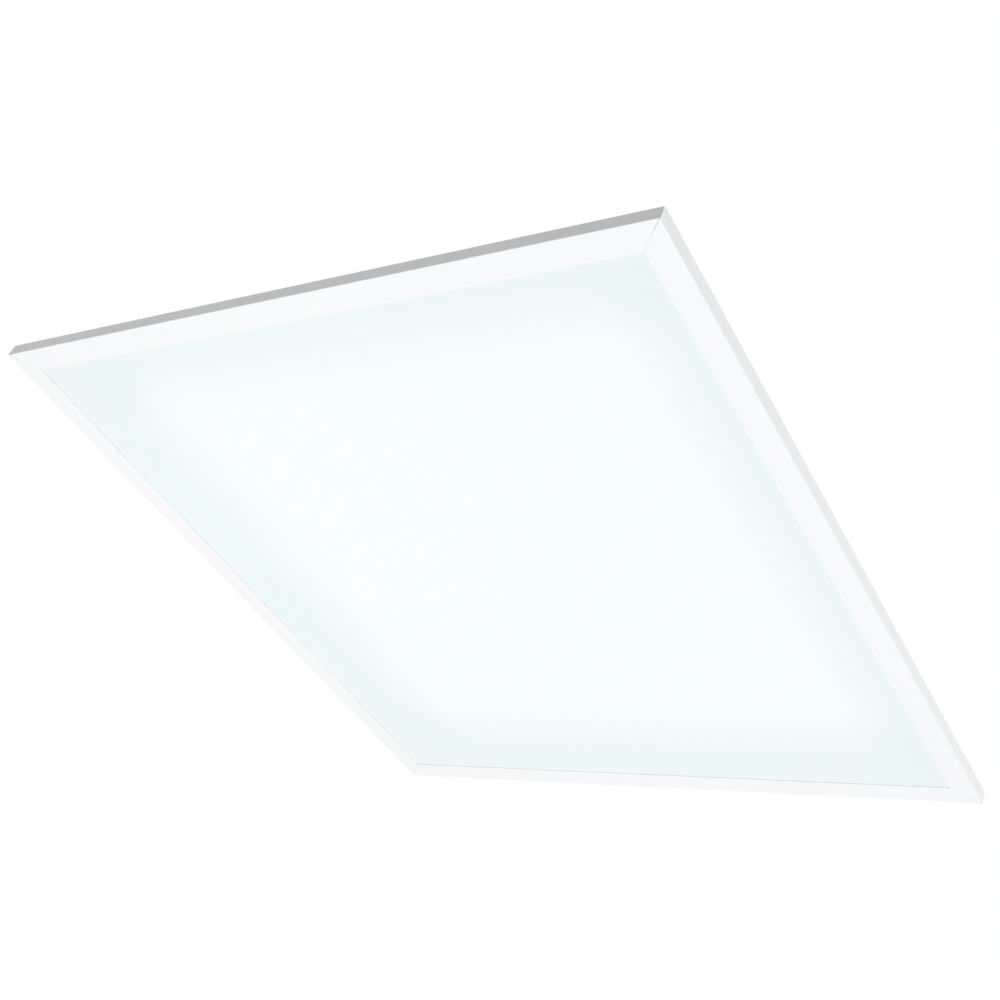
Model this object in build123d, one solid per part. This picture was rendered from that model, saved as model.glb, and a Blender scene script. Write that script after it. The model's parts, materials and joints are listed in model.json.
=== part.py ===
from build123d import *
import math
import os

# A square lay-in light panel for a 2 ft ceiling grid, seen edge-lit from two opposite rails.
# Millimetres. +Z points up into the ceiling void, the room is on the -Z side, the front is -Y.
# The origin is the centre of the rim's visible face.

# ---- Frame: an aluminium section cut to four mitred rails
grid_module = 609.6
grid_play = 6.6
panel_side = grid_module - grid_play
half = panel_side / 2
frame_height = 10.5
rim_width = 20.5
rail_wall = 1.2
key_chamber_width = 6.8
rim_edge_radius = 0.4
mitre_gap = 0.2
rib_inset = rail_wall + key_chamber_width + rail_wall

# ---- Optical stack, from the room upwards
diffuser_thickness = 2.0
guide_thickness = 3.0
reflector_thickness = 0.3
plate_thickness = 0.8
plate_recess = 0.5
stack_gap = 0.4
diffuser_bottom = rail_wall
guide_bottom = diffuser_bottom + diffuser_thickness
reflector_bottom = guide_bottom + guide_thickness
foam_bottom = reflector_bottom + reflector_thickness
plate_top = frame_height - plate_recess
plate_bottom = plate_top - plate_thickness
foam_inset = 13.0

# ---- LED boards on the left and right rails
board_thickness = 1.0
board_end_gap = 5.0
board_top_gap = 0.3
chip_thickness = 0.8
chip_height = 2.8
chip_length = 3.5
chip_pitch = 10.0
chip_to_guide = 0.5
chip_bottom = guide_bottom + (guide_thickness - chip_height) / 2
guide_inset_x = rib_inset + board_thickness + chip_thickness + chip_to_guide
guide_inset_y = rib_inset + stack_gap

# ---- Corner keys and screws in the key chamber
key_chamber_height = plate_bottom - 2 * rail_wall
chamber_centre = rail_wall + key_chamber_width / 2
chamber_middle = rail_wall + key_chamber_height / 2
key_fit = 0.2
key_leg = 32.0
key_screw_inset = 20.0
key_screw_radius = 1.45
key_screw_length = 5.5
key_screw_head_radius = 2.45
screw_fit = 0.05

# ---- Back plate
plate_edge_gap = 0.3
plate_side = panel_side - 2 * (rail_wall + plate_edge_gap)
plate_screw_count = 4
plate_screw_inset = 61.5
plate_screw_pitch = (panel_side - 2 * plate_screw_inset) / (plate_screw_count - 1)
plate_screw_radius = 1.45
plate_screw_length = 5.5
plate_screw_head_radius = 2.75
plate_screw_head_height = 1.6
plate_hole_play = 0.2
bead_count = 5
bead_inset = 101.5
bead_length = panel_side - 2 * bead_inset
bead_width = 12.0
bead_height = 1.5
bead_slope = 45
bead_margin = 100.0
bead_box_gap = 24.0

# ---- Suspension nuts pressed into the back plate
nut_inset = 61.5
nut_spacing = panel_side - 2 * nut_inset
nut_bore_radius = 1.65
nut_body_radius = 4.0
nut_shank_radius = 2.9
nut_height = 3.5

# ---- Driver box: folded sheet tray, fixed cover and hinged access door
sheet = 0.8
bend_radius = 1.2
bend_outer = bend_radius + sheet / 2
corner_relief = 0.4
corner_gap = 0.2
box_length = 320.0
box_width = 92.0
box_height = 38.0
box_y = 110.0
wiring_length = 115.0
lip_width = 11.0
end_wall_drop = 0.6
skirt_depth = 7.0
skirt_gap = 0.3
door_split_gap = 0.6
box_left = -box_length / 2
box_right = box_length / 2
box_front = box_y - box_width / 2
box_rear = box_y + box_width / 2
box_floor = plate_top + sheet
box_top = plate_top + box_height
split_x = box_left + wiring_length

# ---- Knockouts for a half-inch conduit fitting
knockout_radius = 11.1
knockout_slit = 0.4
knockout_tie = 1.6
knockout_pitch = 44.0
knockout_height = 15.5
conduit_y = box_y - knockout_pitch / 2

# ---- Door hinge and thumb screw
door_gap = 0.3
hinge_length = 100.0
knuckle_count = 5
knuckle_gap = 0.3
pin_radius = 1.2
pin_fit = 0.05
pin_head_radius = 1.9
pin_head_height = 0.8
leaf_height = 11.0
knuckle_radius = pin_radius + pin_fit + sheet
hinge_y = box_rear + skirt_gap + knuckle_radius
door_bottom = box_top + door_gap
hinge_z = door_bottom + sheet - knuckle_radius
lip_screw_inset = bend_outer + (lip_width - bend_outer) / 2
thumb_shank_radius = 1.9
thumb_shank_play = 0.3
thumb_head_radius = 5.0
thumb_head_height = 6.0
thumb_flutes = 12
thumb_flute_radius = 0.7
thumb_tip = 0.6
door_nut_radius = 4.0
door_nut_height = 2.5

# ---- Cover screws and box rivets
cover_screw_radius = 1.7
cover_screw_length = 5.0
cover_screw_head_radius = 3.2
cover_screw_head_height = 1.8
cover_screw_inset = 15.0
rivet_radius = 1.6
rivet_head_radius = 3.2
rivet_head_height = 1.1
rivet_tail_radius = 2.4
rivet_tail_height = 1.2
rivet_inset = 14.0
foam_relief = 0.8

# ---- Grid clips, each on its own shouldered rivet
clip_end_inset = 101.5
clip_spacing = panel_side - 2 * clip_end_inset
clip_inset = 26.0
clip_overhang = 2.2
clip_leg_inset = 7.0
clip_width = 12.0
clip_sheet = 1.0
clip_height = 21.0
clip_bend = 1.5
clip_gap = 0.3
clip_rivet_radius = 2.0
clip_rivet_fit = 0.05
clip_rivet_head_radius = 4.2

# ---- LED driver and the partition beside it
partition_foot = 12.0
partition_side_gap = 1.2
driver_width = 62.0
driver_height = 26.0
driver_gap = 37.0
driver_end_gap = 38.0
driver_corner = 3.0
driver_base_sheet = 1.2
driver_ear = 8.0
driver_ear_width = 34.0
driver_screw_radius = 1.9
driver_screw_head_radius = 3.4
driver_screw_head_height = 2.0
driver_left = split_x + driver_gap
driver_right = box_right - driver_end_gap

# ---- Bushing and grommets: bore radius, wall, flange rim and flange thickness
grommet_wall = 1.6
grommet_rim = 1.6
grommet_flange = 1.0
bushing_bore_radius = 4.8
bushing_height = 12.0

# ---- Leads and what they end in
output_lead_radius = 2.0
output_lead_height = 24.0
output_lead_bend = 22.0
output_lead_overhang = 0.2
output_lead_end = plate_bottom - grommet_flange - output_lead_overhang
panel_grommet_offset = 46.0
board_lead_radius = 0.7
board_lead_pitch = 2.0
board_lead_lift = 0.05
foam_groove_width = 5.0
foam_groove_height = 1.8
line_lead_radius = 1.2
line_lead_offset = 2.2
black_lead_angle = 210
white_lead_angle = 90
green_lead_angle = 330
line_lead_fit = 0.05
connector_length = 18.0
connector_width = 10.0
connector_height = 7.5
connector_port_depth = 9.0
connector_port_pitch = 4.8
connector_inset = 47.0
black_connector_offset = -18.0
white_connector_offset = 3.0
line_lead_straight = 21.0
ring_radius = 4.5
ring_thickness = 0.8
ring_barrel_radius = 1.9
ring_barrel_length = 6.0
ground_screw_inset = 48.0
ground_screw_y = 28.0
ground_screw_radius = 1.9
ground_screw_head_radius = 4.0
ground_screw_head_height = 2.4
panel_grommet_x = box_right + panel_grommet_offset
black_connector_y = box_y + black_connector_offset
white_connector_y = box_y + white_connector_offset
line_lead_z = plate_top + bushing_height


# ---- Shared shapes

def block(x, y, z):
    """A box between three (low, high) pairs."""
    size = [high - low for low, high in (x, y, z)]
    return Pos(x[0], y[0], z[0]) * Box(*size, align=(Align.MIN, Align.MIN, Align.MIN))


def upright(radius, low, high):
    """A cylinder on the Z axis between two heights."""
    return Pos(0, 0, low) * Cylinder(radius, high - low, align=(Align.CENTER, Align.CENTER, Align.MIN))


def four_sides(x, y):
    """One point near the front edge, repeated on all four sides of the square."""
    return [(x, y), (-y, x), (-x, -y), (y, -x)]


def copies(shape, points):
    """Separate copies of one solid, at plan positions."""
    return Compound([(Pos(x, y, 0) * shape).solid() for x, y in points])


def drilled(shape, points, radius, low, high):
    """A solid with upright round holes at plan positions, between two heights."""
    for x, y in points:
        shape -= Pos(x, y, 0) * upright(radius, low, high)
    return shape


def headed_pin(shank_radius, low, high, head_radius, head_height):
    """A screw or rivet shank with a domed head that stands on the height 'high'."""
    rim = head_height * 0.45
    outline = Polyline((0, high + head_height), (0, low), (shank_radius, low), (shank_radius, high),
                       (head_radius, high), (head_radius, high + rim))
    rise = head_height - rim
    dome_radius = (head_radius ** 2 + rise ** 2) / (2 * rise)
    dome = RadiusArc((head_radius, high + rim), (0, high + head_height), -dome_radius)
    return revolve(Plane.XZ * make_face(outline + dome), Axis.Z)


def folded_pan(x, y, depth, walls, lip=0):
    """A folded sheet pan: its floor lies on Z = 0 and its walls rise to the depth."""
    low, high = y[0] + sheet / 2, y[1] - sheet / 2
    line = [(low, sheet / 2), (high, sheet / 2)]
    if "front" in walls:
        line = [(low, depth - (sheet / 2 if lip else 0))] + line
    if "rear" in walls:
        line = line + [(high, depth - (sheet / 2 if lip else 0))]
    if lip:
        line = [(y[0] + lip, depth - sheet / 2)] + line + [(y[1] - lip, depth - sheet / 2)]
    relief = bend_outer + corner_relief
    start = x[0] + (relief if "left" in walls else 0)
    end = x[1] - (relief if "right" in walls else 0)
    channel = trace(FilletPolyline(*line, radius=bend_radius), sheet)
    pan = extrude(Plane((start, 0, 0), x_dir=(0, 1, 0), z_dir=(1, 0, 0)) * channel, end - start)
    near = y[0] + (relief if "front" in walls else 0)
    far = y[1] - (relief if "rear" in walls else 0)
    for side, edge, inward in (("left", x[0], 1), ("right", x[1], -1)):
        if side in walls:
            wall_x = edge + inward * sheet / 2
            foot_x = edge + inward * (relief + 2 * bend_outer)
            top = depth - (end_wall_drop if lip else 0)
            line = [(wall_x, top), (wall_x, sheet / 2), (foot_x, sheet / 2)]
            flap = trace(FilletPolyline(*line, radius=bend_radius), sheet)
            pan += extrude(Plane((0, far, 0), x_dir=(1, 0, 0), z_dir=(0, -1, 0)) * flap, far - near)
            side_top = depth - (bend_outer if lip else 0)
            for wall, wall_edge, back in (("front", y[0], 1), ("rear", y[1], -1)):
                if wall in walls:
                    pan += closed_corner(edge, inward, wall_edge, back, top, side_top)
    return pan


def stretch(start, step):
    """A (low, high) pair from a start and a signed step."""
    return (min(start, start + step), max(start, start + step))


def closed_corner(x, inward, y, back, end_top, side_top):
    """The upright edges that close a corner above its relief: the end wall laps the side wall's end."""
    relief = bend_outer + corner_relief
    lap = block(stretch(x, inward * sheet), stretch(y, back * relief), (relief, end_top))
    butt_x = x + inward * (sheet + corner_gap)
    butt_length = relief - sheet - corner_gap
    butt = block(stretch(butt_x, inward * butt_length), stretch(y, back * sheet), (relief, side_top))
    return lap + butt


def grommet(bore_radius, wall_thickness):
    """A grommet on the Z axis, with its wall's lower face on Z = 0."""
    groove = bore_radius + grommet_wall
    rim = groove + grommet_rim
    low, high = -grommet_flange, wall_thickness + grommet_flange
    outline = Polyline((bore_radius, low), (rim, low), (rim, 0), (groove, 0), (groove, wall_thickness),
                       (rim, wall_thickness), (rim, high), (bore_radius, high), close=True)
    ring = revolve(Plane.XZ * make_face(outline), Axis.Z)
    outer_rims = [edge for edge in ring.edges().filter_by(GeomType.CIRCLE)
                  if edge.radius > groove + grommet_rim / 2 and abs(edge.center().Z - wall_thickness / 2)
                  > wall_thickness / 2 + grommet_flange / 2]
    return fillet(outer_rims, grommet_flange * 0.6)


def corner_radii(points):
    """The largest arc radius that the runs beside each corner of a route leave room for."""
    radii = []
    for before, corner, after in zip(points, points[1:], points[2:]):
        into, out = Vector(*corner) - Vector(*before), Vector(*after) - Vector(*corner)
        turn = math.radians(into.get_angle(out))
        radii.append(0.45 * min(into.length, out.length) / math.tan(turn / 2))
    return radii


def round_lead(name, points, radii, lead_radius):
    """A round lead along straight runs that are joined by tangent arcs."""
    route = FilletPolyline(*points, radius=radii)
    start = Plane(origin=route @ 0, z_dir=route % 0)
    lead = sweep(start * Circle(lead_radius), path=route)
    expected = math.pi * lead_radius ** 2 * route.length
    print(f"{name}: length {route.length:.1f}, radii {[round(radius, 1) for radius in radii]}, "
          f"volume {lead.volume:.1f} for {expected:.1f}")
    return lead


# ---- Places shared by the back plate and what is fixed to it

screw_row = [(i - (plate_screw_count - 1) / 2) * plate_screw_pitch for i in range(plate_screw_count)]
plate_screw_points = [point for x in screw_row for point in four_sides(x, -half + chamber_centre)]
nut_points = four_sides(nut_spacing / 2, -nut_spacing / 2)
clip_points = {"front_left": (-clip_spacing / 2, -half + clip_inset),
               "front_right": (clip_spacing / 2, -half + clip_inset),
               "rear_right": (clip_spacing / 2, half - clip_inset),
               "rear_left": (-clip_spacing / 2, half - clip_inset)}
box_rivet_points = [(x, y) for x in (box_left + rivet_inset, box_right - rivet_inset)
                    for y in (box_front + rivet_inset, box_rear - rivet_inset)]
cover_screw_points = [(x, y) for x in (split_x + cover_screw_inset, box_right - cover_screw_inset)
                      for y in (box_front + lip_screw_inset, box_rear - lip_screw_inset)]
key_screw_points = [point for x, y in ((key_screw_inset, chamber_centre), (chamber_centre, key_screw_inset))
                    for point in four_sides(half - x, -half + y)]
thumb_point = (box_left + wiring_length / 2, box_front + lip_screw_inset)
ground_point = (box_left + ground_screw_inset, box_y + ground_screw_y)
driver_screw_points = [(driver_left - driver_ear / 2, box_y), (driver_right + driver_ear / 2, box_y)]
output_lead_z = plate_top + output_lead_height


# ---- Frame

def frame_rail():
    """The front rail, with the hollow chamber that the corner keys sit in."""
    outline = Polyline((0, 0), (rim_width, 0), (rim_width, rail_wall), (rib_inset, rail_wall),
                       (rib_inset, plate_bottom), (rail_wall, plate_bottom), (rail_wall, frame_height),
                       (0, frame_height), close=True)
    section = make_face(outline)
    lower = section.vertices().filter_by(lambda corner: corner.Y < 0.01)
    tip = section.vertices().filter_by(lambda corner: corner.X > rim_width - 0.01)
    section = fillet(list({*lower, *tip}), rim_edge_radius)
    section -= Pos(chamber_centre, rail_wall + key_chamber_height / 2) * Rectangle(
        key_chamber_width, key_chamber_height)
    along = Plane((0, -half, 0), x_dir=(0, 1, 0), z_dir=(1, 0, 0))
    rail = extrude(along * section, half, both=True)
    inset = mitre_gap / math.sqrt(2)
    mitred = make_face(Polyline((-half + inset, -half), (half - inset, -half), (0, -inset), close=True))
    return rail & extrude(mitred, frame_height)


def finished_rail():
    """The front rail with its screw holes and the countersinks of its key screws."""
    rail = drilled(frame_rail(), [(x, -half + chamber_centre) for x in screw_row],
                   plate_screw_radius + screw_fit, chamber_middle, plate_bottom)
    for x in (-half + key_screw_inset, half - key_screw_inset):
        rail -= Pos(x, -half + chamber_centre, 0) * countersunk_form(screw_fit, chamber_middle)
    return rail


def countersunk_form(play, low):
    """A countersunk screw flush with the rail's top: the screw itself, or with play its hole."""
    sink = key_screw_head_radius - key_screw_radius
    shank, head = key_screw_radius + play, key_screw_head_radius + play
    outline = Polyline((0, low), (shank, low), (shank, plate_bottom - sink), (head, plate_bottom),
                       (0, plate_bottom), close=True)
    return revolve(Plane.XZ * make_face(outline), Axis.Z)


def corner_key():
    """The L-shaped key of the front left corner."""
    near = rail_wall + key_fit
    far = rail_wall + key_chamber_width - key_fit
    top = rail_wall + key_chamber_height - key_fit
    key = block((near, key_leg), (near, far), (near, top)) + block((near, far), (near, key_leg), (near, top))
    bores = [(key_screw_inset, chamber_centre), (chamber_centre, key_screw_inset)]
    key = drilled(key, bores, key_screw_radius + screw_fit, 0, frame_height)
    return Pos(-half, -half, 0) * key


# ---- Optical stack and LED boards

def light_sheet(inset_x, inset_y, low, high):
    """A flat sheet that stays the given distance inside the panel's outline."""
    return block((inset_x - half, half - inset_x), (inset_y - half, half - inset_y), (low, high))


def foam_pad():
    """The foam behind the reflector, grooved for the board leads and relieved round rivet tails."""
    pad = light_sheet(foam_inset, foam_inset, foam_bottom, plate_bottom)
    tails = rivet_tail_radius + foam_relief
    pad = drilled(pad, box_rivet_points + list(clip_points.values()), tails, foam_bottom, plate_bottom)
    pad = drilled(pad, nut_points, nut_shank_radius, foam_bottom, plate_bottom)
    grommet_room = output_lead_radius + grommet_wall + grommet_rim + foam_relief
    pad = drilled(pad, [(panel_grommet_x, box_y)], grommet_room, foam_bottom, plate_bottom)
    groove = (box_y - foam_groove_width / 2, box_y + foam_groove_width / 2)
    return pad - block((-half, half), groove, (foam_bottom, foam_bottom + foam_groove_height))


def led_board():
    """The right LED board, which stands on edge against the rail's rib."""
    length = half - rib_inset - board_end_gap
    return block((half - rib_inset - board_thickness, half - rib_inset), (-length, length),
                 (chip_bottom, plate_bottom - board_top_gap))


def led_chips():
    """The row of chips on the right LED board, centred on the edge of the light guide."""
    room = 2 * (half - rib_inset - board_end_gap) - chip_length
    count = int(room / chip_pitch) + 1
    face = half - rib_inset - board_thickness
    chip = block((face - chip_thickness, face), (-chip_length / 2, chip_length / 2),
                 (chip_bottom, chip_bottom + chip_height))
    return [(Pos(0, (i - (count - 1) / 2) * chip_pitch, 0) * chip).solid() for i in range(count)]


def board_leads(board_x):
    """The pair of thin leads from under the panel grommet to one LED board."""
    toward = 1 if board_x > panel_grommet_x else -1
    start = panel_grommet_x + toward * output_lead_radius / 2
    height = foam_bottom + board_lead_lift + board_lead_radius
    plane = Plane((start, 0, height), x_dir=(0, 1, 0), z_dir=(toward, 0, 0))
    lead = extrude(plane * Circle(board_lead_radius), abs(board_x - start))
    return [(Pos(0, box_y + side * board_lead_pitch / 2, 0) * lead).solid() for side in (-1, 1)]


# ---- Back plate and what is fixed to it

def bead(low_side):
    """The raised form of one stiffening bead, seen from above, or from below its sheet."""
    slope = math.radians(bead_slope)
    inward = plate_thickness * (1 / math.cos(slope) - math.tan(slope)) if low_side else 0
    outline = SlotOverall(bead_length - 2 * inward, bead_width - 2 * inward)
    base = plate_bottom if low_side else plate_top
    return Pos(0, 0, base) * extrude(outline, bead_height, taper=bead_slope)


def bead_rows():
    """The Y positions of the beads: an even field before the box and one row behind it."""
    first, last = -half + bead_margin, box_front - skirt_gap - sheet - bead_box_gap
    rows = [first + (last - first) * i / (bead_count - 1) for i in range(bead_count)]
    return rows + [(hinge_y + half) / 2]


def back_plate():
    """The embossed steel plate that closes the frame, with its holes."""
    reach = plate_side / 2
    plate = block((-reach, reach), (-reach, reach), (plate_bottom, plate_top))
    for y in bead_rows():
        plate += Pos(0, y, 0) * bead(False)
        plate -= Pos(0, y, 0) * bead(True)
    low, high = plate_bottom, plate_top
    plate = drilled(plate, plate_screw_points, plate_screw_radius + plate_hole_play, low, high)
    plate = drilled(plate, nut_points, nut_shank_radius, low, high)
    plate = drilled(plate, box_rivet_points, rivet_radius, low, high)
    plate = drilled(plate, clip_points.values(), clip_rivet_radius, low, high)
    return drilled(plate, [(panel_grommet_x, box_y)], output_lead_radius + grommet_wall, low, high)


def suspension_nut():
    """A round clinch nut whose shank is flush with the plate's lower face."""
    nut = upright(nut_shank_radius, plate_bottom, plate_top)
    nut += upright(nut_body_radius, plate_top, plate_top + nut_height)
    return nut - upright(nut_bore_radius, plate_bottom, plate_top + nut_height)


# ---- Driver box

def knockout_slits(plane):
    """The ring slit that leaves a knockout hanging on two ties, cut through one wall."""
    ring = Circle(knockout_radius) - Circle(knockout_radius - knockout_slit)
    ring -= Rectangle(knockout_tie, 4 * knockout_radius)
    return extrude(plane * ring, sheet, both=True)


def box_tray():
    """The tray: floor and four folded walls with turned-in lips, knockouts and a lead outlet."""
    x, y = (box_left, box_right), (box_front, box_rear)
    tray = Pos(0, 0, plate_top) * folded_pan(x, y, box_height, "front rear left right", lip_width)
    knockout_z = plate_top + knockout_height
    left_wall = Plane((box_left + sheet / 2, conduit_y, knockout_z), x_dir=(0, 1, 0), z_dir=(1, 0, 0))
    tray -= extrude(left_wall * Circle(knockout_radius), sheet, both=True)
    tray -= knockout_slits(Plane((box_left + sheet / 2, conduit_y + knockout_pitch, knockout_z),
                                 x_dir=(0, 1, 0), z_dir=(1, 0, 0)))
    for side in (-1, 1):
        place = (box_left + wiring_length / 2 + side * knockout_pitch / 2, box_front + sheet / 2, knockout_z)
        tray -= knockout_slits(Plane(place, x_dir=(1, 0, 0), z_dir=(0, -1, 0)))
    outlet = Plane((box_right - sheet / 2, box_y, output_lead_z), x_dir=(0, 1, 0), z_dir=(1, 0, 0))
    tray -= extrude(outlet * Circle(output_lead_radius + grommet_wall), sheet, both=True)
    tray = drilled(tray, box_rivet_points, rivet_radius, plate_top, box_floor)
    tray = drilled(tray, driver_screw_points, driver_screw_radius + screw_fit, plate_top, box_floor)
    tray = drilled(tray, [ground_point], ground_screw_radius + screw_fit, plate_top, box_floor)
    tray = drilled(tray, cover_screw_points, cover_screw_radius + screw_fit, box_top - sheet, box_top)
    return drilled(tray, [thumb_point], thumb_shank_radius + thumb_shank_play, box_top - sheet, box_top)


def lid(x, walls, low):
    """A folded lid over the tray, with skirts that hang outside the tray's walls."""
    reach = skirt_gap + sheet
    x = (x[0] - (reach if "left" in walls else 0), x[1] + (reach if "right" in walls else 0))
    y = (box_front - reach, box_rear + (reach if "rear" in walls else 0))
    pan = folded_pan(x, y, skirt_depth + sheet, walls)
    return Pos(0, 0, low + sheet) * mirror(pan, Plane.XY)


def driver_cover():
    """The fixed cover over the driver."""
    cover = lid((split_x + door_split_gap / 2, box_right), "front rear right", box_top)
    return drilled(cover, cover_screw_points, cover_screw_radius + plate_hole_play, box_top, box_top + sheet)


def partition():
    """The wall between mains wiring and driver, with a foot spot-welded to the floor."""
    top = box_top - sheet - door_gap - box_floor
    middle = sheet / 2
    line = FilletPolyline((partition_foot, middle), (middle, middle), (middle, top), radius=bend_radius)
    reach = box_width / 2 - sheet - partition_side_gap
    plane = Plane((split_x, box_y, box_floor), x_dir=(1, 0, 0), z_dir=(0, -1, 0))
    wall = extrude(plane * trace(line, sheet), reach, both=True)
    hole = Plane((split_x + sheet / 2, box_y, line_lead_z), x_dir=(0, 1, 0), z_dir=(1, 0, 0))
    return wall - extrude(hole * Circle(bushing_bore_radius + grommet_wall), sheet, both=True)


# ---- Hinge, door and thumb screw

def knuckles(first):
    """The X spans of every second knuckle, beginning with the given one."""
    pitch = hinge_length / knuckle_count
    start = box_left + (wiring_length - hinge_length) / 2
    return [(start + i * pitch + knuckle_gap / 2, start + (i + 1) * pitch - knuckle_gap / 2)
            for i in range(first, knuckle_count, 2)]


def rod(radius, x):
    """A round rod on the hinge axis between two X values."""
    plane = Plane((x[0], hinge_y, hinge_z), x_dir=(0, 1, 0), z_dir=(1, 0, 0))
    return extrude(plane * Circle(radius), x[1] - x[0])


def hinge_leaf():
    """The fixed leaf, spot-welded to the rear wall, with its rolled knuckles."""
    spans = knuckles(0)
    clear = hinge_z - knuckle_radius - knuckle_gap
    leaf = block((spans[0][0], spans[-1][1]), (box_rear, box_rear + sheet), (hinge_z - leaf_height, clear))
    for span in spans:
        leaf += block(span, (box_rear, box_rear + sheet), (hinge_z - leaf_height, hinge_z))
        leaf += rod(knuckle_radius, span)
    return leaf - rod(pin_radius + pin_fit, (spans[0][0] - 1, spans[-1][1] + 1))


def access_door():
    """The hinged door over the wiring space, with its own rolled knuckles."""
    door = lid((box_left, split_x - door_split_gap / 2), "front left", door_bottom)
    fixed, moving = knuckles(0), knuckles(1)
    top = door_bottom + sheet
    ends = [(box_left - skirt_gap - sheet, fixed[0][0] - knuckle_gap),
            (fixed[-1][1] + knuckle_gap, split_x - door_split_gap / 2)]
    for span in ends + moving:
        door += block(span, (box_rear - bend_outer, hinge_y if span in moving else box_rear + skirt_gap),
                      (door_bottom, top))
    for low, high in fixed:
        room = (low - knuckle_gap, high + knuckle_gap)
        door -= block(room, (hinge_y - knuckle_radius - skirt_gap, hinge_y), (door_bottom, top))
    for span in moving:
        door += rod(knuckle_radius, span)
    door -= rod(pin_radius + pin_fit, (fixed[0][0], fixed[-1][1]))
    return drilled(door, [thumb_point], thumb_shank_radius + pin_fit, door_bottom, top)


def hinge_pin():
    """The headed pin through all knuckles."""
    spans = knuckles(0)
    start, end = spans[0][0] - knuckle_gap, spans[-1][1] + knuckle_gap
    pin = rod(pin_radius, (start, end))
    pin += rod(pin_head_radius, (start - pin_head_height, start))
    return pin + rod(pin_head_radius, (end, end + pin_head_height))


def thumb_screw():
    """The captive fluted screw that holds the door shut."""
    head_low = door_bottom + sheet + door_gap
    head_high = head_low + thumb_head_height
    head = upright(thumb_head_radius, head_low, head_high)
    head = fillet(head.edges().filter_by(GeomType.CIRCLE), thumb_flute_radius)
    flute = Pos(thumb_head_radius, 0, 0) * upright(thumb_flute_radius, head_low, head_high)
    for i in range(thumb_flutes):
        head -= Rot(0, 0, 360 * i / thumb_flutes) * flute
    tip = box_top - sheet - door_nut_height - thumb_tip
    shank = upright(thumb_shank_radius, tip, (head_low + head_high) / 2)
    return Pos(*thumb_point) * (head + shank)


def door_nut():
    """The hexagon nut welded below the front lip."""
    flat = RegularPolygon(door_nut_radius, 6)
    nut = extrude(flat - Circle(thumb_shank_radius + thumb_shank_play), door_nut_height)
    return Pos(*thumb_point, box_top - sheet - door_nut_height) * nut


# ---- LED driver

def driver_base():
    """The driver's base sheet with a slotted ear at each end."""
    ear = (box_y - driver_ear_width / 2, box_y + driver_ear_width / 2)
    low, high = box_floor, box_floor + driver_base_sheet
    body = (box_y - driver_width / 2, box_y + driver_width / 2)
    base = block((driver_left - driver_ear, driver_right + driver_ear), ear, (low, high))
    base += block((driver_left, driver_right), body, (low, high))
    for x, y in driver_screw_points:
        slot = SlotOverall(3 * driver_screw_radius, 2 * (driver_screw_radius + plate_hole_play), rotation=90)
        base -= Pos(x, y, low) * extrude(slot, driver_base_sheet)
    return base


def driver_can():
    """The closed can of the driver."""
    low = box_floor + driver_base_sheet
    body = (box_y - driver_width / 2, box_y + driver_width / 2)
    can = block((driver_left, driver_right), body, (low, low + driver_height))
    can = fillet(can.edges().filter_by(Axis.Z), driver_corner)
    return fillet(can.faces().sort_by(Axis.Z)[-1].edges(), driver_corner / 2)


# ---- Mains side leads, their connectors and the earth point

def line_lead_start(angle):
    """Where a lead leaves the driver, in line with its place in the bushing."""
    turn = math.radians(angle)
    across, up = line_lead_offset * math.cos(turn), line_lead_offset * math.sin(turn)
    return (driver_left, box_y + across, line_lead_z + up)


def mains_leads():
    """The black, white and green leads from the driver to their connectors and the earth ring."""
    port_z = box_floor + connector_height / 2
    connector_face = box_left + connector_inset + connector_length
    barrel_end = ground_point[0] + ring_radius + ring_barrel_length
    port_end = connector_face - connector_port_depth
    port_side = connector_port_pitch / 2
    ends = {"lead_black": (black_lead_angle, port_end, black_connector_y + port_side, port_z),
            "lead_white": (white_lead_angle, port_end, white_connector_y + port_side, port_z),
            "lead_green": (green_lead_angle, barrel_end, ground_point[1], box_floor + ring_barrel_radius)}
    leads = {}
    for name, (angle, x, y, z) in ends.items():
        start = line_lead_start(angle)
        bend = (split_x - line_lead_offset - bushing_height, start[1], start[2])
        straight = (x + line_lead_straight, y, z)
        points = [start, bend, straight, (x, y, z)]
        leads[name] = round_lead(name, points, corner_radii(points), line_lead_radius)
    return leads


def wire_connector(y):
    """A two-port push-in connector on the tray's floor, with its ports towards the driver."""
    x = (box_left + connector_inset, box_left + connector_inset + connector_length)
    sides = (y - connector_width / 2, y + connector_width / 2)
    body = block(x, sides, (box_floor, box_floor + connector_height))
    body = chamfer(body.faces().sort_by(Axis.X)[0].edges(), connector_height / 6)
    for side in (-1, 1):
        plane = Plane((x[1], y + side * connector_port_pitch / 2, box_floor + connector_height / 2),
                      x_dir=(0, 1, 0), z_dir=(-1, 0, 0))
        body -= extrude(plane * Circle(line_lead_radius + line_lead_fit), connector_port_depth)
    return body


def earth_ring():
    """The ring terminal below the ground screw, with its barrel towards the green lead."""
    low, high = box_floor, box_floor + ring_thickness
    x, y = ground_point
    barrel_x = (x + ring_radius, x + ring_radius + ring_barrel_length)
    ring = Pos(x, y, 0) * upright(ring_radius, low, high)
    ring += block((x, barrel_x[1]), (y - ring_barrel_radius, y + ring_barrel_radius), (low, high))
    plane = Plane((barrel_x[0], y, box_floor + ring_barrel_radius), x_dir=(0, 1, 0), z_dir=(1, 0, 0))
    ring += extrude(plane * Circle(ring_barrel_radius), ring_barrel_length)
    return ring - Pos(x, y, 0) * upright(ground_screw_radius + screw_fit, low, high)


# ---- Grid clips

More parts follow.
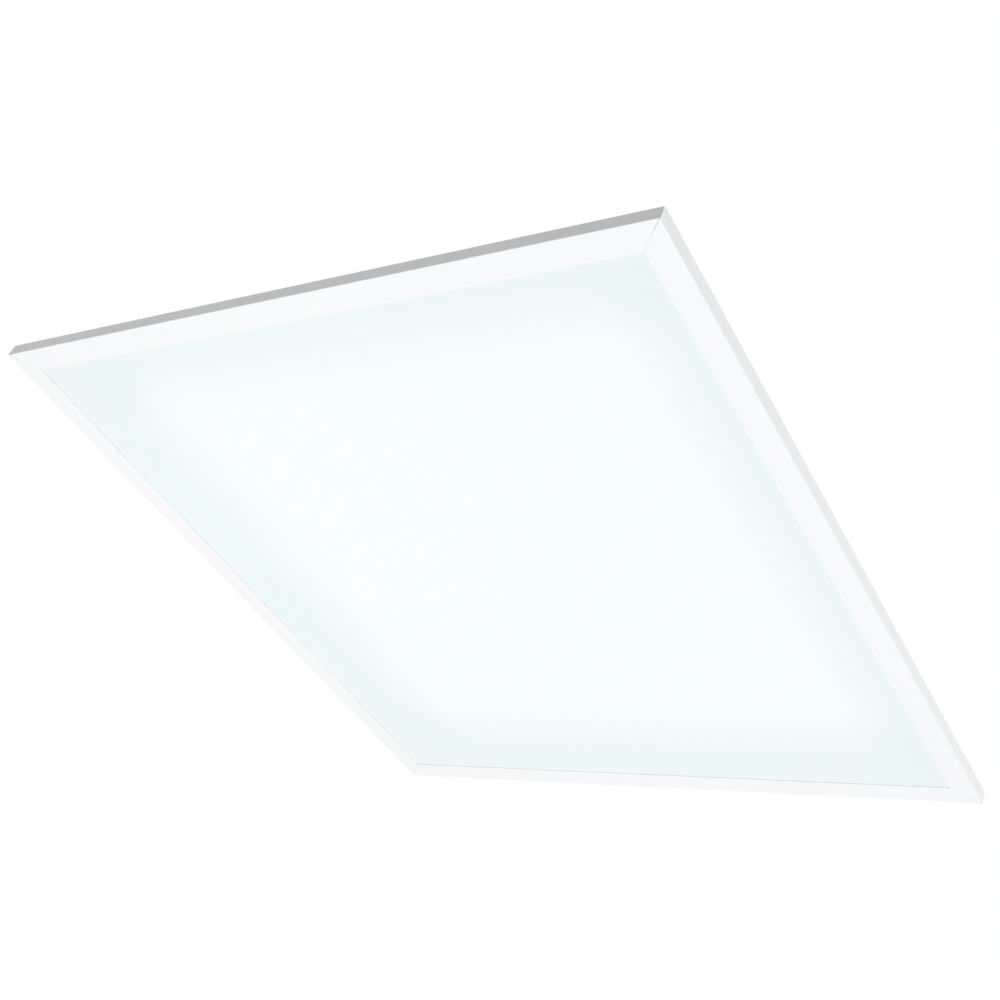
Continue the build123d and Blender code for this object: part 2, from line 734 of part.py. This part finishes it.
def grid_clip():
    """A clip on its pivot at the origin, folded with its lip towards +X."""
    end = clip_inset + clip_overhang
    leg = clip_inset - clip_leg_inset
    middle = clip_sheet / 2
    corners = [(-clip_width / 2, middle), (leg - middle, middle),
               (leg - middle, clip_height - middle), (end, clip_height - middle)]
    line = FilletPolyline(*corners, radius=clip_bend)
    strap = extrude(Plane.XZ * trace(line, clip_sheet), clip_width / 2, both=True)
    rounded_end = upright(clip_width / 2, 0, clip_height)
    rounded_end += block((0, end), (-clip_width / 2, clip_width / 2), (0, clip_height))
    strap &= rounded_end
    strap -= upright(clip_rivet_radius + clip_rivet_fit, 0, clip_sheet)
    return Pos(0, 0, plate_top + clip_gap) * strap


def clip_rivet():
    """The rivet that a clip swings on: a head, a running shank and a set tail in the foam."""
    top = plate_top + clip_gap + clip_sheet + clip_gap
    rivet = headed_pin(clip_rivet_radius, plate_bottom, top, clip_rivet_head_radius, rivet_head_height)
    return rivet + upright(rivet_tail_radius, plate_bottom - rivet_tail_height, plate_bottom)


def box_rivet():
    """A rivet through the tray's floor and the back plate."""
    rivet = headed_pin(rivet_radius, plate_bottom, box_floor, rivet_head_radius, rivet_head_height)
    return rivet + upright(rivet_tail_radius, plate_bottom - rivet_tail_height, plate_bottom)


# ---- All pieces by name

def turned(shape, quarter):
    """A piece turned by quarter turns about the panel's centre."""
    return Rot(0, 0, 90 * quarter) * shape


pieces = {}
rail = finished_rail()
key = corner_key()
for quarter, (side, corner) in enumerate(zip(("front", "right", "rear", "left"),
                                             ("front_left", "front_right", "rear_right", "rear_left"))):
    pieces[f"frame_rail_{side}"] = turned(rail, quarter)
    pieces[f"corner_key_{corner}"] = turned(key, quarter)
pieces["corner_key_screws"] = copies(countersunk_form(0, plate_bottom - key_screw_length), key_screw_points)

diffuser_inset = rib_inset + stack_gap
pieces["diffuser"] = light_sheet(diffuser_inset, diffuser_inset, diffuser_bottom, guide_bottom)
pieces["light_guide"] = light_sheet(guide_inset_x, guide_inset_y, guide_bottom, reflector_bottom)
pieces["reflector_sheet"] = light_sheet(guide_inset_x, guide_inset_y, reflector_bottom, foam_bottom)
pieces["foam_pad"] = foam_pad()
board_face = half - rib_inset - board_thickness
for side, quarter, board_x in (("right", 0, board_face), ("left", 2, -board_face)):
    pieces[f"led_board_{side}"] = turned(led_board(), quarter)
    pieces[f"led_chips_{side}"] = turned(Compound(led_chips()), quarter)
    pieces[f"board_leads_{side}"] = Compound(board_leads(board_x))

pieces["back_plate"] = back_plate()
plate_screw = headed_pin(plate_screw_radius, plate_top - plate_screw_length, plate_top,
                         plate_screw_head_radius, plate_screw_head_height)
pieces["back_plate_screws"] = copies(plate_screw, plate_screw_points)
pieces["suspension_nuts"] = copies(suspension_nut(), nut_points)

pieces["driver_box_tray"] = box_tray()
pieces["driver_box_rivets"] = copies(box_rivet(), box_rivet_points)
pieces["driver_box_cover"] = driver_cover()
cover_screw = headed_pin(cover_screw_radius, box_top + sheet - cover_screw_length, box_top + sheet,
                         cover_screw_head_radius, cover_screw_head_height)
pieces["cover_screws"] = copies(cover_screw, cover_screw_points)
pieces["partition"] = partition()
bushing = grommet(bushing_bore_radius, sheet)
pieces["partition_bushing"] = Pos(split_x, box_y, line_lead_z) * (Rot(0, 90, 0) * bushing)

pieces["door_hinge_leaf"] = hinge_leaf()
pieces["door_hinge_pin"] = hinge_pin()
pieces["access_door"] = access_door()
pieces["door_thumb_screw"] = thumb_screw()
pieces["door_nut"] = door_nut()

pieces["driver_base"] = driver_base()
pieces["driver_can"] = driver_can()
driver_screw_seat = box_floor + driver_base_sheet
driver_screw = headed_pin(driver_screw_radius, plate_top, driver_screw_seat,
                          driver_screw_head_radius, driver_screw_head_height)
pieces["driver_screws"] = copies(driver_screw, driver_screw_points)

pieces.update(mains_leads())
connectors = [wire_connector(y).solid() for y in (black_connector_y, white_connector_y)]
pieces["wire_connectors"] = Compound(connectors)
pieces["earth_ring"] = earth_ring()
ground_screw = headed_pin(ground_screw_radius, plate_top, box_floor + ring_thickness,
                          ground_screw_head_radius, ground_screw_head_height)
pieces["ground_screw"] = Pos(*ground_point, 0) * ground_screw

output_route = [(driver_right, box_y, output_lead_z), (panel_grommet_x, box_y, output_lead_z),
                (panel_grommet_x, box_y, output_lead_end)]
pieces["output_lead"] = round_lead("output_lead", output_route, [output_lead_bend], output_lead_radius)
box_grommet = Rot(0, 90, 0) * grommet(output_lead_radius, sheet)
pieces["box_grommet"] = Pos(box_right - sheet, box_y, output_lead_z) * box_grommet
plate_grommet = grommet(output_lead_radius, plate_thickness)
pieces["panel_grommet"] = Pos(panel_grommet_x, box_y, plate_bottom) * plate_grommet

clip = grid_clip()
for corner, (x, y) in clip_points.items():
    pieces[f"grid_clip_{corner}"] = Pos(x, y, 0) * (Rot(0, 0, 0 if x < 0 else 180) * clip)
pieces["grid_clip_rivets"] = copies(clip_rivet(), clip_points.values())

os.makedirs("parts", exist_ok=True)
for name, piece in pieces.items():
    export_step(piece, f"parts/{name}.step")
print(len(pieces), "pieces")
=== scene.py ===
import json
import math

import bpy
from mathutils import Matrix, Vector


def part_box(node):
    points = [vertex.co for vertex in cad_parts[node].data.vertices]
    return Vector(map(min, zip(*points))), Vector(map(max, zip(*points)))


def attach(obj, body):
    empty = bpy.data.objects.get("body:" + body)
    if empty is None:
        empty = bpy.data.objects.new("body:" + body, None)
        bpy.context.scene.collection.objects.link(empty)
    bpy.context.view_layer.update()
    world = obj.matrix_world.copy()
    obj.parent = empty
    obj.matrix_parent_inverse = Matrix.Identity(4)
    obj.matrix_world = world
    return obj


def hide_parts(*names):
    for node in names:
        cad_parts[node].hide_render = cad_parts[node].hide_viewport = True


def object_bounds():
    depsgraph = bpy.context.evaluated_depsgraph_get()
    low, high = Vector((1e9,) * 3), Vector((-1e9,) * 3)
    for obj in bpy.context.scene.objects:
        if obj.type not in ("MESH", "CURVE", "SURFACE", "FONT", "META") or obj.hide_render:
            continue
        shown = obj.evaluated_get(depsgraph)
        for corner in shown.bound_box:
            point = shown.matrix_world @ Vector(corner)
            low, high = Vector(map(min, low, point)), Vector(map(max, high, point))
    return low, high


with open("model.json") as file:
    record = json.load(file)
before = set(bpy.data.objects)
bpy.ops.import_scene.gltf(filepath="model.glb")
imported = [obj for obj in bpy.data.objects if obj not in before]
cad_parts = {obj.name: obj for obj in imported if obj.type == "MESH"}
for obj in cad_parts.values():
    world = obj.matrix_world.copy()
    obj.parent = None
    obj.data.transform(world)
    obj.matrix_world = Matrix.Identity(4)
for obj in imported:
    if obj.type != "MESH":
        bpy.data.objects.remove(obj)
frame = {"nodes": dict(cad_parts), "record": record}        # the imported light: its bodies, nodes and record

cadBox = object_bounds()
print("loaded", len(frame["nodes"]), "nodes")


# The camera stands below the panel, near its front right corner, and looks up at it.
camera = {
    "place": (0.7162, -0.6989, -0.6010),
    "aim": (0.1015, -0.0514, 0.0),
    "roll": 23.95,
    "focal": 1465.1,          # in pixels of the 1000 pixel frame
    "axisPixel": (573.6, 531.8),
    "frameSize": 1000,
    "sensor": 36.0,
}


def placeCamera(c):
    data = bpy.data.cameras.new("camera")
    data.sensor_width = c["sensor"]
    data.lens = c["focal"] / c["frameSize"] * c["sensor"]
    data.shift_x = (c["frameSize"] / 2 - c["axisPixel"][0]) / c["frameSize"]
    data.shift_y = (c["axisPixel"][1] - c["frameSize"] / 2) / c["frameSize"]
    data.clip_start = 0.01
    look = Vector(c["aim"]) - Vector(c["place"])
    turn = look.to_track_quat("-Z", "Y").to_matrix().to_4x4()
    obj = bpy.data.objects.new("camera", data)
    roll = Matrix.Rotation(math.radians(c["roll"]), 4, "Z")
    obj.matrix_world = Matrix.Translation(c["place"]) @ turn @ roll
    bpy.context.collection.objects.link(obj)
    bpy.context.scene.camera = obj


class Val:
    # one number that varies over a surface; + - * / on it add Math nodes
    def __init__(self, shade, socket):
        self.shade, self.socket = shade, socket

    def op(self, kind, *others):
        return self.shade.num("ShaderNodeMath", {"operation": kind}, 0, dict(enumerate((self, *others))))

    def __add__(self, other):
        return self.op("ADD", other)

    def __sub__(self, other):
        return self.op("SUBTRACT", other)

    def __rsub__(self, other):
        return self.shade.num("ShaderNodeMath", {"operation": "SUBTRACT"}, 0, {0: other, 1: self})

    def __mul__(self, other):
        return self.op("MULTIPLY", other)

    def __truediv__(self, other):
        return self.op("DIVIDE", other)

    __radd__, __rmul__ = __add__, __mul__

    def step(self, low, high):
        # 0 below low, 1 above high, smooth between them
        return self.shade.num("ShaderNodeMapRange", {"interpolation_type": "SMOOTHSTEP"}, "Result",
                              {"Value": self, "From Min": low, "From Max": high})


class Tree:
    # a node tree that is filled one node at a time
    def __init__(self, tree):
        self.tree = tree

    def node(self, kind, settings, inputs):
        node = self.tree.nodes.new(kind)
        for name, value in settings.items():
            setattr(node, name, value)
        self.set(node, inputs)
        return node

    def set(self, node, inputs):
        for name, value in inputs.items():
            target = node.inputs[name]
            for item in value if isinstance(value, list) else [value]:
                if isinstance(item, Val):
                    item = item.socket
                if isinstance(item, bpy.types.NodeSocket):
                    self.tree.links.new(item, target)
                else:
                    target.default_value = (*item, 1) if target.type == "RGBA" else item

    def num(self, kind, settings, output, inputs):
        return Val(self, self.node(kind, settings, inputs).outputs[output])

    def out(self, kind, settings, output, inputs):
        return self.node(kind, settings, inputs).outputs[output]


class Shade(Tree):
    # one material: its nodes, and the Principled shader at its end
    def __init__(self, name, **fixed):
        self.material = bpy.data.materials.new(name)
        self.material.use_nodes = True
        super().__init__(self.material.node_tree)
        self.surface = self.tree.nodes["Principled BSDF"]
        self.set(self.surface, fixed)

    def coords(self):
        return self.out("ShaderNodeTexCoord", {}, "Object", {})

    def along(self, scale, turn=(0, 0, 0)):
        # object coordinates, stretched and turned
        return self.out("ShaderNodeMapping", {}, "Vector",
                        {"Vector": self.coords(), "Scale": scale, "Rotation": turn})

    def noise(self, scale, detail, vector=None, roughness=0.5):
        return self.num("ShaderNodeTexNoise", {}, "Fac",
                        {"Vector": vector or self.coords(), "Scale": scale, "Detail": detail,
                         "Roughness": roughness})

    def mix(self, factor, low, high):
        return self.out("ShaderNodeMix", {"data_type": "RGBA"}, 2, {0: factor, 6: low, 7: high})

    def bump(self, height, distance, strength):
        return self.out("ShaderNodeBump", {}, "Normal",
                        {"Height": height, "Distance": distance, "Strength": strength})

    def finish(self, **links):
        names = {"color": "Base Color", "roughness": "Roughness", "normal": "Normal",
                 "emission": "Emission Color"}
        self.set(self.surface, {names[key]: value for key, value in links.items()})
        return self.material


def paintedMetal(name, color, dusty, roughness=0.42, peel=0.6):
    # satin powder coat: fine orange peel, a breath of unevenness in tone and gloss
    s = Shade(name, **{"Specular IOR Level": 0.45})
    broad, fine = s.noise(9, 4), s.noise(1500, 2)
    dimple = s.noise(620, 2, roughness=0.4)
    tone = broad.step(0.35, 0.75) * 0.6 + fine * 0.4
    return s.finish(color=s.mix(tone, color, dusty),
                    roughness=roughness + (broad - 0.5) * 0.12 + (fine - 0.5) * 0.06,
                    normal=s.bump(dimple * peel + fine * 0.2, 0.00016, 0.7))


opal = {
    "sheet": (0.36, 0.37, 0.37),            # the opal acrylic by itself
    "centre": (0.524, 0.550, 0.556),        # light from within, in the middle
    "loss": (0.080, 0.041, 0.041),          # what the band along an edge lacks of it
    "band": {                               # where the band is full and where it has ended, from the rim
        "front": (0.000, 0.072),
        "rear": (0.030, 0.115),
        "left": (0.035, 0.120),
        "right": (0.000, 0.062),
    },
    "rim": 0.0205,                          # width of the frame's face
    "cornerMost": 1.25,                     # in a corner two bands meet, and add up to no more than this
    "cornerSoft": 0.3,                      # how gently that limit sets in
}


def opalSheet(name):
    # the lit diffuser: white in the middle, cooler and dimmer in a band along each edge
    s = Shade(name, **{"Emission Strength": 1.0, "Specular IOR Level": 0.4})
    place = s.node("ShaderNodeSeparateXYZ", {}, {0: s.coords()})
    x, y = Val(s, place.outputs[0]), Val(s, place.outputs[1])
    half = cadBox[1][0] - opal["rim"]
    gaps = {"front": y + half, "rear": half - y, "left": x + half, "right": half - x}
    edge = sum((1 - gap.step(*opal["band"][side]) for side, gap in gaps.items()), start=0.0)
    edge = edge.op("SMOOTH_MIN", opal["cornerMost"], opal["cornerSoft"]) * (s.noise(5, 2) * 0.2 + 0.9)
    darker = s.out("ShaderNodeVectorMath", {"operation": "SCALE"}, 0, {0: opal["loss"], "Scale": edge})
    glow = s.out("ShaderNodeVectorMath", {"operation": "SUBTRACT"}, 0, {0: opal["centre"], 1: darker})
    grain = s.noise(2600, 2)
    base = s.mix(grain, opal["sheet"], tuple(v * 1.03 for v in opal["sheet"]))
    return s.finish(color=base, emission=glow, roughness=0.5 + (grain - 0.5) * 0.1,
                    normal=s.bump(grain, 0.00001, 0.3))


def galvanised(name, tint=(0.50, 0.515, 0.53), spangle=170):
    # hot dip zinc: crystal spangles of slightly different grey and gloss, feathered inside
    s = Shade(name, **{"Metallic": 1.0})
    warp = s.out("ShaderNodeTexNoise", {}, "Color", {"Vector": s.coords(), "Scale": 240.0, "Detail": 2.0})
    moved = s.out("ShaderNodeVectorMath", {"operation": "MULTIPLY_ADD"}, 0,
                  {0: warp, 1: (0.0022, 0.0022, 0.0022), 2: s.coords()})
    grains = [s.num("ShaderNodeTexVoronoi", {"distance": kind}, "Color", {"Vector": moved, "Scale": scale})
              for kind, scale in (("MANHATTAN", spangle), ("EUCLIDEAN", spangle * 0.45))]
    feather = s.noise(1300, 4, s.along((1.0, 0.35, 1.0), (0.4, 0.3, 0.7)))
    rolled = s.noise(30, 3, s.along((1, 30, 30)))
    tone = grains[0] * 0.45 + grains[1] * 0.25 + feather * 0.2 + rolled * 0.1
    pale, dark = tuple(v * 1.08 for v in tint), tuple(v * 0.88 for v in tint)
    return s.finish(color=s.mix(tone.step(0.15, 0.85), dark, pale),
                    roughness=0.30 + grains[0] * 0.10 + feather * 0.08,
                    normal=s.bump(rolled * 0.4 + grains[0] * 0.3 + feather * 0.3, 0.00002, 0.3))


def platedSteel(name, tint=(0.50, 0.51, 0.53), low=0.2):
    # bright zinc on small parts: a faint warm cast and tiny tool marks
    s = Shade(name, **{"Metallic": 1.0})
    cast = s.noise(180, 3)
    marks = s.noise(900, 3, s.along((1, 1, 5)))
    warm = tuple(v * k for v, k in zip(tint, (1.02, 0.99, 0.90)))
    return s.finish(color=s.mix(cast.step(0.3, 0.7), tint, warm),
                    roughness=low + marks * 0.18 + cast * 0.08,
                    normal=s.bump(marks, 0.00002, 0.35))


def springSteel(name):
    # rolled spring strip: lengthwise lines, darker patches
    s = Shade(name, **{"Metallic": 1.0})
    lines = s.noise(160, 4, s.along((1, 1, 14)))
    patch = s.noise(90, 3)
    return s.finish(color=s.mix(patch.step(0.35, 0.7), (0.38, 0.40, 0.42), (0.48, 0.49, 0.51)),
                    roughness=0.26 + lines * 0.2, normal=s.bump(lines, 0.00002, 0.4))


def plastic(name, color, deep, roughness, scale=700, coat=0.0):
    # moulded or extruded plastic: fine matt grain, slow change of tone
    s = Shade(name, **{"Coat Weight": coat, "Specular IOR Level": 0.45})
    slow, grain = s.noise(45, 2), s.noise(scale, 3)
    return s.finish(color=s.mix(slow.step(0.3, 0.8), color, deep),
                    roughness=roughness + (grain - 0.5) * 0.16,
                    normal=s.bump(grain, 0.00003, 0.35))


def foamSheet(name):
    # closed cell foam: small round cells
    s = Shade(name, Roughness=0.9)
    cells = s.num("ShaderNodeTexVoronoi", {}, "Distance", {"Vector": s.coords(), "Scale": 900.0})
    return s.finish(color=s.mix(cells, (0.86, 0.86, 0.84), (0.70, 0.70, 0.68)),
                    normal=s.bump(cells, 0.0002, 0.6))


def dottedGuide(name):
    # clear acrylic, its back printed with rows of pale dots
    s = Shade(name, **{"IOR": 1.49, "Transmission Weight": 0.8})
    dots = s.num("ShaderNodeTexVoronoi", {}, "Distance",
                 {"Vector": s.coords(), "Scale": 420.0, "Randomness": 0.0})
    return s.finish(color=s.mix(dots.step(0.25, 0.35), (0.97, 0.99, 0.99), (0.80, 0.90, 0.90)),
                    roughness=0.12 + dots * 0.1)


finishes = {
    "frame_paint": paintedMetal("framePaint", (0.90, 0.905, 0.91), (0.885, 0.89, 0.90)),
    "plate_paint": paintedMetal("platePaint", (0.82, 0.82, 0.82), (0.78, 0.785, 0.79), 0.5, peel=1.0),
    "green_screw": paintedMetal("greenScrew", (0.03, 0.30, 0.09), (0.02, 0.22, 0.07), 0.3),
    "opal_diffuser": opalSheet("opalSheet"),
    "box_steel": galvanised("boxSteel"),
    "clip_steel": springSteel("clipSteel"),
    "zinc_screw": platedSteel("zincScrew"),
    "tin_plate": platedSteel("tinPlate", (0.54, 0.54, 0.53), 0.28),
    "key_zinc": platedSteel("keyZinc", (0.46, 0.46, 0.48), 0.4),
    "foam": foamSheet("foamSheet"),
    "clear_guide": dottedGuide("dottedGuide"),
}
# Plastics: the colour, the deeper tone it drifts to and the roughness, then a grain or clear coat of its own.
plastics = {
    "driver_plastic": ((0.84, 0.84, 0.82), (0.80, 0.80, 0.78), 0.42, {"scale": 900}),
    "board_mask": ((0.86, 0.87, 0.85), (0.80, 0.81, 0.79), 0.35, {}),
    "chip_phosphor": ((0.86, 0.72, 0.22), (0.80, 0.64, 0.16), 0.3, {}),
    "reflector_film": ((0.93, 0.93, 0.93), (0.90, 0.90, 0.91), 0.3, {}),
    "black_insulation": ((0.020, 0.020, 0.022), (0.035, 0.035, 0.037), 0.36, {}),
    "white_insulation": ((0.82, 0.82, 0.80), (0.76, 0.76, 0.73), 0.36, {}),
    "green_insulation": ((0.015, 0.24, 0.06), (0.010, 0.18, 0.045), 0.36, {}),
    "red_insulation": ((0.50, 0.02, 0.02), (0.40, 0.012, 0.012), 0.36, {}),
    "grey_jacket": ((0.66, 0.66, 0.66), (0.58, 0.58, 0.58), 0.42, {}),
    "black_rubber": ((0.018, 0.018, 0.018), (0.032, 0.032, 0.032), 0.62, {"scale": 1100}),
    "nylon": ((0.80, 0.79, 0.74), (0.74, 0.72, 0.66), 0.34, {}),
    "connector_plastic": ((0.85, 0.34, 0.04), (0.74, 0.26, 0.03), 0.22, {"coat": 0.3}),
}
for slotName, (color, deep, roughness, more) in plastics.items():
    firstWord, *otherWords = slotName.split("_")
    finishes[slotName] = plastic(firstWord + "".join(otherWords).title(), color, deep, roughness, **more)
print(len(finishes), "finishes made")

slotOf = {part["node"]: part["material_slot"] for part in frame["record"]["subparts"]}
for nodeName, node in frame["nodes"].items():
    for slot in node.material_slots:
        slot.material = finishes[slotOf[nodeName]]
print("finishes on", len(frame["nodes"]), "nodes")


# Screws with cross recesses, in the place of the plain CAD heads. Lengths are in metres, and recess,
# slot and the rings are shares of the head's size.
screwHead = {
    "segments": 20,
    "rim": 0.42,                                            # the upright part's share of the height
    "rings": ((0.30, 0.93), (0.55, 0.74), (0.68, 0.40)),    # how far up each ring is, and its width
    "recessDepth": 0.55,
}
screws = {
    "back_plate_screws": {"headRadius": 0.00275, "headHeight": 0.0016, "shankRadius": 0.00145, "recess": 0.62,
                          "slot": 0.20, "seed": 3, "finish": "zinc_screw", "perSide": 4, "pitch": 0.160},
    "cover_screws": {"headRadius": 0.0032, "headHeight": 0.0018, "shankRadius": 0.0017, "recess": 0.60,
                     "slot": 0.20, "seed": 8, "finish": "zinc_screw"},
    "driver_screws": {"headRadius": 0.0034, "headHeight": 0.0020, "shankRadius": 0.0019, "recess": 0.60,
                      "slot": 0.20, "seed": 5, "finish": "zinc_screw"},
    "ground_screw": {"headRadius": 0.0040, "headHeight": 0.0024, "shankRadius": 0.0019, "recess": 0.55,
                     "slot": 0.18, "seed": 2, "finish": "green_screw"},
}


def screwTree():
    # points in, one turned screw on each out
    group = bpy.data.node_groups.new("crossScrews", "GeometryNodeTree")
    face = group.interface
    face.new_socket(name="Geometry", in_out="OUTPUT", socket_type="NodeSocketGeometry")
    face.new_socket(name="Geometry", in_out="INPUT", socket_type="NodeSocketGeometry")
    for name in ("Head Radius", "Head Height", "Shank Radius", "Shank Length", "Recess", "Slot"):
        face.new_socket(name=name, in_out="INPUT", socket_type="NodeSocketFloat")
    face.new_socket(name="Seed", in_out="INPUT", socket_type="NodeSocketInt")
    face.new_socket(name="Material", in_out="INPUT", socket_type="NodeSocketMaterial")
    g = Tree(group)
    given = g.node("NodeGroupInput", {}, {}).outputs
    radius, height = Val(g, given["Head Radius"]), Val(g, given["Head Height"])
    rim = height * screwHead["rim"]
    drum = g.node("GeometryNodeMeshCylinder", {"fill_type": "NGON"},
                  {"Vertices": screwHead["segments"], "Radius": radius, "Depth": rim})
    body = g.out("GeometryNodeTransform", {}, 0,
                 {"Geometry": drum.outputs["Mesh"], "Translation": upVector(g, rim * 0.5)})
    top, bottom = drum.outputs["Top"], drum.outputs["Bottom"]

    def pushed(mesh, faces, distance, ratio):
        step = g.node("GeometryNodeExtrudeMesh", {"mode": "FACES"},
                      {"Mesh": mesh, "Selection": faces, "Offset Scale": distance, "Individual": False})
        scaled = g.out("GeometryNodeScaleElements", {"domain": "FACE"}, 0,
                       {"Geometry": step.outputs["Mesh"], "Selection": step.outputs["Top"], "Scale": ratio})
        return scaled, step.outputs["Top"]

    lower, width = screwHead["rim"], 1.0
    body, foot = pushed(body, bottom, 0.0, Val(g, given["Shank Radius"]) / radius)
    body, foot = pushed(body, foot, Val(g, given["Shank Length"]), 1.0)
    for rise, share in screwHead["rings"]:
        level = screwHead["rim"] + (1 - screwHead["rim"]) * rise / screwHead["rings"][-1][0]
        body, top = pushed(body, top, height * (level - lower), share / width)
        lower, width = level, share
    length, slot = radius * Val(g, given["Recess"]) * 2, radius * Val(g, given["Slot"]) * 2
    deep = height * (2 * screwHead["recessDepth"])          # the bars are centred on the head's top
    bars = []
    for turn in (0.0, math.pi / 2):
        size = g.out("ShaderNodeCombineXYZ", {}, 0, {0: length, 1: slot, 2: deep})
        cube = g.out("GeometryNodeMeshCube", {}, 0, {"Size": size})
        bars.append(g.out("GeometryNodeTransform", {}, 0,
                          {"Geometry": cube, "Translation": upVector(g, height), "Rotation": (0, 0, turn)}))
    body = g.out("GeometryNodeMeshBoolean", {"operation": "DIFFERENCE"}, 0, {0: body, 1: bars})
    turned = g.node("FunctionNodeRandomValue", {"data_type": "FLOAT"},
                    {2: 0.0, 3: math.pi, "Seed": given["Seed"]})
    placed = g.out("GeometryNodeInstanceOnPoints", {}, 0,
                   {"Points": given["Geometry"], "Instance": body, "Rotation": upVector(g, turned.outputs[1])})
    real = g.out("GeometryNodeRealizeInstances", {}, 0, {"Geometry": placed})
    done = g.out("GeometryNodeSetMaterial", {}, 0, {"Geometry": real, "Material": given["Material"]})
    g.node("NodeGroupOutput", {}, {"Geometry": done})
    return group


def upVector(g, value):
    return g.out("ShaderNodeCombineXYZ", {}, 0, {2: value})


def headCentres(low, high, radius):
    # across one direction of a group's box: a single head, or one at each end
    if high - low < 3 * radius:
        return [(low + high) / 2]
    return [low + radius, high - radius]


def screwPoints(name, look):
    # where the CAD has its screws, worked out from the box round them
    low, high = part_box(name)
    z = high[2] - look["headHeight"]
    xs = headCentres(low[0], high[0], look["headRadius"])
    ys = headCentres(low[1], high[1], look["headRadius"])
    if "perSide" in look:
        row = [(i - (look["perSide"] - 1) / 2) * look["pitch"] for i in range(look["perSide"])]
        return [(a, y, z) for a in row for y in ys] + [(x, a, z) for a in row for x in xs]
    return [(x, y, z) for x in xs for y in ys]


def buildScrews():
    group = screwTree()
    for name, look in screws.items():
        mesh = bpy.data.meshes.new(name + "Points")
        mesh.from_pydata(screwPoints(name, look), [], [])
        points = bpy.data.objects.new(name + "Points", mesh)
        bpy.context.collection.objects.link(points)
        modifier = points.modifiers.new("screws", "NODES")
        modifier.node_group = group
        low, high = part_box(name)
        values = {"Head Radius": look["headRadius"], "Head Height": look["headHeight"],
                  "Shank Radius": look["shankRadius"], "Shank Length": high[2] - low[2] - look["headHeight"],
                  "Recess": look["recess"], "Slot": look["slot"], "Seed": look["seed"],
                  "Material": finishes[look["finish"]]}
        for item in group.interface.items_tree:
            if item.name in values:
                modifier[item.identifier] = values[item.name]
        depsgraph = bpy.context.evaluated_depsgraph_get()
        plain = bpy.data.meshes.new_from_object(points.evaluated_get(depsgraph))
        bpy.data.objects.remove(points)
        plain.shade_smooth()
        plain.set_sharp_from_angle(angle=math.radians(32))
        piece = bpy.data.objects.new(name + "_crossed", plain)
        bpy.context.collection.objects.link(piece)
        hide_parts(name)
        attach(piece, "panel")
        print(name, "made with", len(plain.polygons), "faces")


# The studio is a pale floor well below the panel, soft lights and a white surround.
studio = {
    "floorLow": -1.55,
    "floorHalf": 60.0,
    "floorColor": (0.86, 0.86, 0.86),
    "floorSeen": (1.0, 1.0, 1.0),           # laid over what is seen of the floor, by the veil's share
    "floorVeil": 0.75,
    "backdrop": (1.0, 1.0, 1.0),            # what the camera, gloss and glass see round the object
    "surround": (0.40, 0.40, 0.405),        # what lights it from all round
}
lamps = {
    "fromBelow": {"place": (-0.1, -0.06, -1.25), "aim": (0, 0, 0), "size": 2.4, "watts": 17.9},
    "fromRight": {"place": (2.0, 0.3, 0.0), "aim": (0, 0, 0), "size": 1.4, "watts": 15.3},
    "fromAbove": {"place": (-0.9, 1.6, 1.7), "aim": (0, 0, 0), "size": 4.0, "watts": 35},
}


def seenRays(tree):
    # 1 for what the camera sees, by itself or through gloss and glass, and 0 for what only lights the object
    rays = tree.node("ShaderNodeLightPath", {}, {}).outputs
    direct = tree.num("ShaderNodeMath", {"operation": "MAXIMUM"}, 0,
                      {0: rays["Is Camera Ray"], 1: rays["Is Glossy Ray"]})
    return tree.num("ShaderNodeMath", {"operation": "MAXIMUM"}, 0,
                    {0: direct, 1: rays["Is Transmission Ray"]})


def buildFloor():
    h, z = studio["floorHalf"], studio["floorLow"]
    mesh = bpy.data.meshes.new("floor")
    mesh.from_pydata([(-h, -h, z), (h, -h, z), (h, h, z), (-h, h, z)], [], [(0, 1, 2, 3)])
    floor = bpy.data.objects.new("floor", mesh)
    bpy.context.collection.objects.link(floor)
    s = Shade("floorPaint", Roughness=0.9)
    paint = studio["floorColor"]
    mesh.materials.append(s.finish(color=s.mix(s.noise(30, 3), paint, tuple(v * 0.985 for v in paint))))
    veil = s.out("ShaderNodeEmission", {}, 0, {"Color": studio["floorSeen"], "Strength": 1.0})
    shown = s.out("ShaderNodeMixShader", {}, 0,
                  {0: seenRays(s) * studio["floorVeil"], 1: s.surface.outputs[0], 2: veil})
    s.set(s.tree.nodes["Material Output"], {"Surface": shown})


def buildLamps():
    for name, lamp in lamps.items():
        data = bpy.data.lights.new(name, "AREA")
        data.size = lamp["size"]
        data.energy = lamp["watts"]
        obj = bpy.data.objects.new(name, data)
        place = Vector(lamp["place"])
        turn = (Vector(lamp["aim"]) - place).to_track_quat("-Z", "Y").to_matrix().to_4x4()
        obj.matrix_world = Matrix.Translation(place) @ turn
        obj.visible_camera = False
        bpy.context.collection.objects.link(obj)


def buildWorld():
    world = bpy.data.worlds.new("surround")
    bpy.context.scene.world = world
    world.use_nodes = True
    w = Tree(world.node_tree)
    shown = w.out("ShaderNodeMix", {"data_type": "RGBA"}, 2,
                  {0: seenRays(w), 6: studio["surround"], 7: studio["backdrop"]})
    w.set(world.node_tree.nodes["Background"], {"Color": shown, "Strength": 1.0})


buildScrews()
buildFloor()
buildLamps()
buildWorld()
print("studio set")
placeCamera(camera)
bpy.context.scene.view_settings.view_transform = "Standard"
print("camera set")
